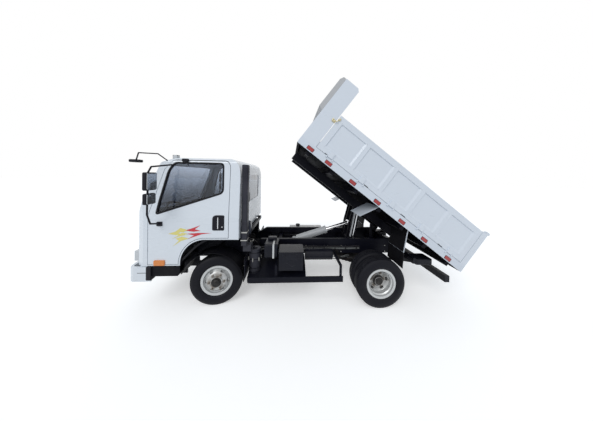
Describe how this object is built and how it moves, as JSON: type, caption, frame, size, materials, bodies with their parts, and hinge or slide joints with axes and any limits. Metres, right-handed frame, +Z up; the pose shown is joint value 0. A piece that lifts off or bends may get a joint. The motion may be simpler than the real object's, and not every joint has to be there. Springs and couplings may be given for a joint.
{
  "type": "dump truck",
  "caption": "Light cab-over dump truck with twin rear tyres, a raised tipping bed with drop sides, and a lift-arm hoist.",
  "frame": {"origin": "on the ground under the middle of the truck's bounding box", "axes": "+X to the rear of the truck, +Y to its right, +Z up"},
  "size_m": [5.4914, 2.53, 3.5307],
  "materials": {
    "cab_white": "white paint, satin",
    "frame_black": "black chassis paint",
    "wheel_silver": "silver wheel paint",
    "tyre": "tyre rubber",
    "hoist_grey": "grey hoist paint",
    "chrome_rod": "plated piston rod",
    "iron": "cast iron",
    "black_plastic": "black plastic",
    "grey_plastic": "grey interior plastic",
    "rubber": "black rubber",
    "glass": "clear glass",
    "lamp": "lamp lens",
    "seat_cloth": "grey seat cloth",
    "tank_silver": "aluminium tank"
  },
  "bodies": {
    "chassis": {"frame": "frame_black", "subframe": "frame_black", "chassis_mounts": "frame_black", "front_axle": "frame_black", "rear_axle": "frame_black", "leaf_springs": "frame_black", "engine": "iron", "gearbox": "iron", "fuel_tank": "tank_silver", "battery_box": "frame_black", "air_tank": "frame_black", "muffler": "frame_black", "air_intake": "black_plastic", "side_guards": "frame_black", "under_run_bar": "frame_black", "tail_lamps": "lamp", "tow_jaw": "frame_black", "front_mudguards": "black_plastic"},
    "cab": {"cab_shell": "cab_white", "cab_floor": "grey_plastic", "cab_glass": "glass", "seats": "seat_cloth", "dashboard": "grey_plastic", "bumper": "cab_white", "cab_steps": "black_plastic", "headlamps": "lamp", "grille": "black_plastic", "cab_fittings": "black_plastic"},
    "door_left": {"door_left": "cab_white", "door_glass_left": "glass", "mirrors_left": "black_plastic"},
    "door_right": {"door_right": "cab_white", "door_glass_right": "glass", "mirrors_right": "black_plastic"},
    "knuckle_left": {"knuckle_left": "iron"},
    "knuckle_right": {"knuckle_right": "iron"},
    "wheel_front_left": {"wheel_front_left": "wheel_silver", "tyre_front_left": "tyre"},
    "wheel_front_right": {"wheel_front_right": "wheel_silver", "tyre_front_right": "tyre"},
    "wheels_rear_left": {"wheels_rear_left": "wheel_silver", "tyres_rear_left": "tyre"},
    "wheels_rear_right": {"wheels_rear_right": "wheel_silver", "tyres_rear_right": "tyre"},
    "bed": {"bed_floor": "cab_white", "bed_sills": "frame_black", "bed_hinges": "frame_black", "bed_headboard": "cab_white", "bed_visor": "hoist_grey", "bed_posts": "cab_white", "bed_mudguards": "cab_white", "mud_flaps": "rubber"},
    "side_left": {"side_left": "cab_white"},
    "side_right": {"side_right": "cab_white"},
    "tailgate": {"tailgate": "cab_white"},
    "hoist_arm": {"hoist_arm": "hoist_grey"},
    "cylinder_barrel": {"cylinder_barrel": "hoist_grey"},
    "cylinder_rod": {"cylinder_rod": "chrome_rod"},
    "safety_prop": {"safety_prop": "frame_black"}
  },
  "joints": [
    {"name": "cab_tilt", "type": "hinge", "parent": "chassis", "child": "cab", "pos_m": [-2.47066, 0, 0.655], "axis": [0, -1, 0], "range_deg": [0, 45]},
    {"name": "door_left_hinge", "type": "hinge", "parent": "cab", "child": "door_left", "pos_m": [-2.44366, -0.922, 1.2], "axis": [0, 0, -1], "range_deg": [0, 70]},
    {"name": "door_right_hinge", "type": "hinge", "parent": "cab", "child": "door_right", "pos_m": [-2.44366, 0.922, 1.2], "axis": [0, 0, 1], "range_deg": [0, 70]},
    {"name": "steer_left", "type": "hinge", "parent": "chassis", "child": "knuckle_left", "pos_m": [-1.56566, -0.59, 0.3875], "axis": [0, 0, 1], "range_deg": [-42.6, 21.4]},
    {"name": "steer_right", "type": "hinge", "parent": "chassis", "child": "knuckle_right", "pos_m": [-1.56566, 0.59, 0.3875], "axis": [0, 0, 1], "range_deg": [-38.6, 19.5]},
    {"name": "front_left_spin", "type": "hinge", "parent": "knuckle_left", "child": "wheel_front_left", "pos_m": [-1.54175, -0.71778, 0.3875], "axis": [-0.184, 0.9829, 0], "continuous": true},
    {"name": "front_right_spin", "type": "hinge", "parent": "knuckle_right", "child": "wheel_front_right", "pos_m": [-1.58721, 0.7182, 0.3875], "axis": [-0.1657, 0.9862, 0], "continuous": true},
    {"name": "rear_left_spin", "type": "hinge", "parent": "chassis", "child": "wheels_rear_left", "pos_m": [1.03434, -0.755, 0.3875], "axis": [0, 1, 0], "continuous": true},
    {"name": "rear_right_spin", "type": "hinge", "parent": "chassis", "child": "wheels_rear_right", "pos_m": [1.03434, 0.755, 0.3875], "axis": [0, 1, 0], "continuous": true},
    {"name": "bed_tilt", "type": "hinge", "parent": "chassis", "child": "bed", "pos_m": [1.54434, 0, 0.87], "axis": [0, 1, 0], "range_deg": [-37, 8]},
    {"name": "tailgate_hinge", "type": "hinge", "parent": "bed", "child": "tailgate", "pos_m": [2.71087, 0, 1.19175], "axis": [0, -1, 0], "range_deg": [0, 75]},
    {"name": "side_left_hinge", "type": "hinge", "parent": "bed", "child": "side_left", "pos_m": [1.09875, -1.022, 1.62461], "axis": [0.7986, 0, -0.6018], "range_deg": [0, 180]},
    {"name": "side_right_hinge", "type": "hinge", "parent": "bed", "child": "side_right", "pos_m": [1.09875, 1.022, 1.62461], "axis": [-0.7986, 0, 0.6018], "range_deg": [0, 180]},
    {"name": "hoist_arm_pivot", "type": "hinge", "parent": "chassis", "child": "hoist_arm", "pos_m": [0.78434, 0, 0.8], "axis": [0, 1, 0], "range_deg": [-97.8, 21.3]},
    {"name": "cylinder_pivot", "type": "hinge", "parent": "chassis", "child": "cylinder_barrel", "pos_m": [-0.31566, 0, 0.74], "axis": [0, -1, 0], "range_deg": [-13.73, 3.05]},
    {"name": "cylinder_stroke", "type": "slide", "parent": "cylinder_barrel", "child": "cylinder_rod", "axis": [0.9527, 0, 0.3039], "range_m": [-0.3976, 0.0868]},
    {"name": "prop_pivot", "type": "hinge", "parent": "chassis", "child": "safety_prop", "pos_m": [1.15434, -0.29, 0.8], "axis": [0, 1, 0], "range_deg": [-81.5, 17.7]}
  ],
  "couplings": [
    {"joint": "steer_right", "follows": "steer_left", "ratio": 0.9},
    {"joint": "hoist_arm_pivot", "follows": "bed_tilt", "ratio": 2.64},
    {"joint": "cylinder_pivot", "follows": "bed_tilt", "ratio": 0.36851},
    {"joint": "cylinder_stroke", "follows": "bed_tilt", "m_per_rad": 0.61415},
    {"joint": "prop_pivot", "follows": "bed_tilt", "ratio": 2.2}
  ]
}
